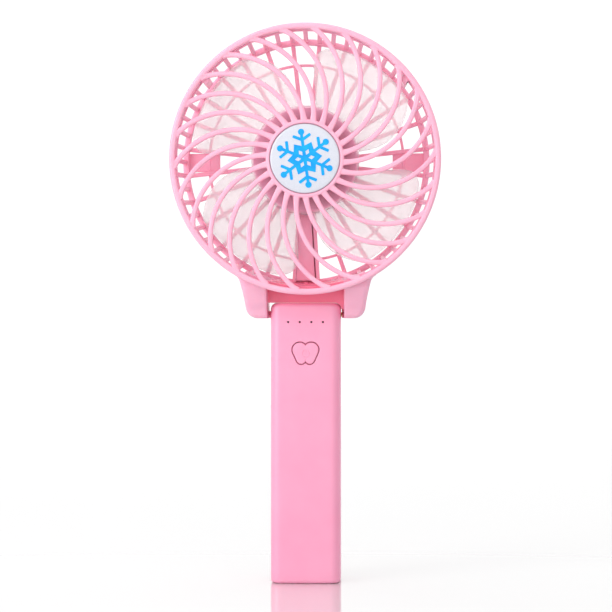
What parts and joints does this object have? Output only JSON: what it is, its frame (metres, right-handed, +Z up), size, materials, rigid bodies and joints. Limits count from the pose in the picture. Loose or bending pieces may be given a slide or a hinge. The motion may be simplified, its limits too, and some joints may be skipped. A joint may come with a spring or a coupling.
{
  "type": "handheld electric fan",
  "caption": "Folding handheld electric fan: a round caged head with a translucent rotor, hinged on a slim battery handle with a push button.",
  "frame": {"origin": "centre of the handle's flat base", "axes": "+Z up along the handle to the head, -Y the front where the air comes out, +X to the viewer's right"},
  "size_m": [0.1014, 0.0341, 0.2103],
  "materials": {
    "pink_plastic": "satin moulded plastic, pale pink",
    "deep_pink_plastic": "satin moulded plastic, a deeper pink in the shade of the cage",
    "frosted_plastic": "translucent frosted moulding",
    "pearl_badge": "pearl disc with a blue snowflake print",
    "snow_blue": "blue print",
    "steel": "bright steel",
    "brass": "turned brass",
    "black_plastic": "black plastic or sleeving",
    "board_green": "solder-masked board",
    "cell_wrap": "shrink-wrapped cell",
    "white_nylon": "natural nylon",
    "lamp_clear": "clear lamp body"
  },
  "bodies": {
    "head": {"rear_cover": "deep_pink_plastic", "channel_cover": "deep_pink_plastic", "front_grille": "pink_plastic", "badge_disc": "pearl_badge", "badge_snowflake": "snow_blue", "motor_can": "steel", "motor_end_cap": "white_nylon", "motor_retainer": "pink_plastic", "retainer_screw_1": "steel", "retainer_screw_2": "steel", "retainer_screw_3": "steel", "head_lead": "black_plastic", "hinge_pin_left": "steel", "hinge_sleeve_right": "brass"},
    "rotor": {"rotor": "frosted_plastic", "motor_shaft": "steel"},
    "handle": {"handle_front": "pink_plastic", "handle_rear": "pink_plastic", "handle_screw_1": "steel", "handle_screw_2": "steel", "handle_screw_3": "steel", "handle_screw_4": "steel", "battery_cell": "cell_wrap", "battery_spring": "steel", "contact_plate_low": "steel", "contact_plate_high": "steel", "circuit_board": "board_green", "charge_socket": "steel", "charge_tongue": "black_plastic", "inductor": "black_plastic", "charge_chip": "black_plastic", "led_1": "lamp_clear", "led_2": "lamp_clear", "led_3": "lamp_clear", "led_4": "lamp_clear", "switch_body": "black_plastic", "friction_spring": "steel", "handle_lead": "black_plastic"},
    "button": {"button": "pink_plastic", "switch_plunger": "white_nylon"}
  },
  "joints": [
    {"name": "fold_hinge", "type": "hinge", "parent": "head", "child": "handle", "pos_m": [0, 0.0071, 0.1015], "axis": [1, 0, 0], "range_deg": [0, 180]},
    {"name": "rotor_spin", "type": "hinge", "parent": "head", "child": "rotor", "pos_m": [0, 0, 0.1596], "axis": [0, 1, 0], "continuous": true},
    {"name": "button_press", "type": "slide", "parent": "handle", "child": "button", "axis": [0, 1, 0], "range_m": [0, 0.0005], "stiffness_N_per_m": 1500}
  ]
}
